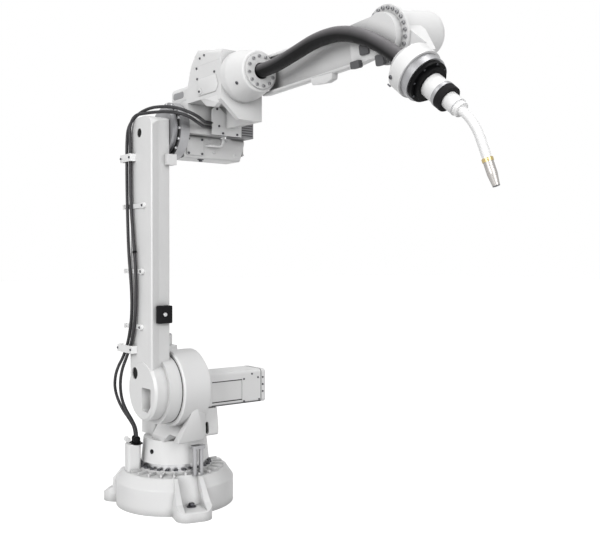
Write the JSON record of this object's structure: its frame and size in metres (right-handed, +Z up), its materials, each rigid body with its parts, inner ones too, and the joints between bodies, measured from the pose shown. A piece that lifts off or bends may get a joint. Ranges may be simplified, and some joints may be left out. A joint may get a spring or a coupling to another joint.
{
  "type": "industrial robot arm",
  "caption": "Floor-standing jointed industrial robot arm with a hollow wrist, an outside process hose and a welding torch with a bent neck.",
  "frame": {"origin": "On axis 1, on the underside of the base where it stands on the floor.", "axes": "+X along the arm's forward reach, +Y to the arm's left, +Z up."},
  "size_m": [1.6673, 0.4957, 1.605],
  "materials": {
    "iron_paint": "light grey-white paint on cast iron",
    "arm_paint": "light grey-white paint on cast aluminium",
    "steel": "bare machined steel",
    "black_plastic": "black moulded plastic",
    "white_plastic": "white moulded plastic",
    "grey_plastic": "dark grey moulded plastic",
    "cable_rubber": "black cable sheath",
    "hose_rubber": "black ribbed hose",
    "black_rubber": "black rubber",
    "neck_coat": "white coated aluminium tube",
    "brass": "bare brass",
    "nozzle_chrome": "chromed copper"
  },
  "bodies": {
    "base": {"base_casting": "iron_paint", "bearing_ring": "steel", "connector_column": "arm_paint", "cable_glands": "black_plastic", "turning_stop": "steel"},
    "turret": {"turret_table": "iron_paint", "shoulder_casting": "iron_paint", "axis2_drum": "iron_paint", "axis2_motor": "arm_paint", "axis2_motor_cap": "arm_paint", "axis1_motor": "arm_paint", "shoulder_cables": "cable_rubber"},
    "lower_arm": {"lower_arm_hub": "arm_paint", "lower_arm_casting": "arm_paint", "arm_bumper": "black_rubber", "elbow_stop": "arm_paint", "cable_clamps": "white_plastic", "arm_cables": "cable_rubber"},
    "elbow": {"elbow_flange": "arm_paint", "elbow_housing": "arm_paint", "axis3_motor": "arm_paint", "axis4_motor": "arm_paint", "cable_bracket": "arm_paint", "vent_box": "grey_plastic", "elbow_cables": "cable_rubber"},
    "forearm": {"forearm_hub": "arm_paint", "hose_ring": "arm_paint", "forearm_beam": "arm_paint", "forearm_end": "arm_paint", "process_hose": "hose_rubber"},
    "wrist": {"tilt_housing": "arm_paint"},
    "tool": {"tool_flange": "steel", "torch_disc": "black_plastic", "torch_body": "white_plastic", "torch_collar": "black_rubber", "torch_shank": "white_plastic", "swan_neck": "neck_coat", "brass_ring": "brass", "gas_nozzle": "nozzle_chrome"}
  },
  "joints": [
    {"name": "axis_1_turn", "type": "hinge", "parent": "base", "child": "turret", "pos_m": [0, 0, 0], "axis": [0, 0, 1], "range_deg": [-180, 180]},
    {"name": "axis_2_swing", "type": "hinge", "parent": "turret", "child": "lower_arm", "pos_m": [0.15, 0, 0.445], "axis": [0, 1, 0], "range_deg": [-95, 155], "deforming": ["shoulder_cables"]},
    {"name": "axis_3_lift", "type": "hinge", "parent": "lower_arm", "child": "elbow", "pos_m": [0.15, 0, 1.345], "axis": [0, -1, 0], "range_deg": [-75, 180], "deforming": ["elbow_cables"]},
    {"name": "axis_4_roll", "type": "hinge", "parent": "elbow", "child": "forearm", "pos_m": [0.15, 0, 1.495], "axis": [1, 0, 0], "range_deg": [-185, 165]},
    {"name": "axis_5_tilt", "type": "hinge", "parent": "forearm", "child": "wrist", "pos_m": [1.088, 0, 1.495], "axis": [0, -0.9848, -0.1736], "range_deg": [-78, 162], "deforming": ["process_hose"]},
    {"name": "axis_6_spin", "type": "hinge", "parent": "wrist", "child": "tool", "pos_m": [1.088, 0, 1.495], "axis": [0.7547, 0.1139, -0.6461], "range_deg": [-400, 400]}
  ]
}
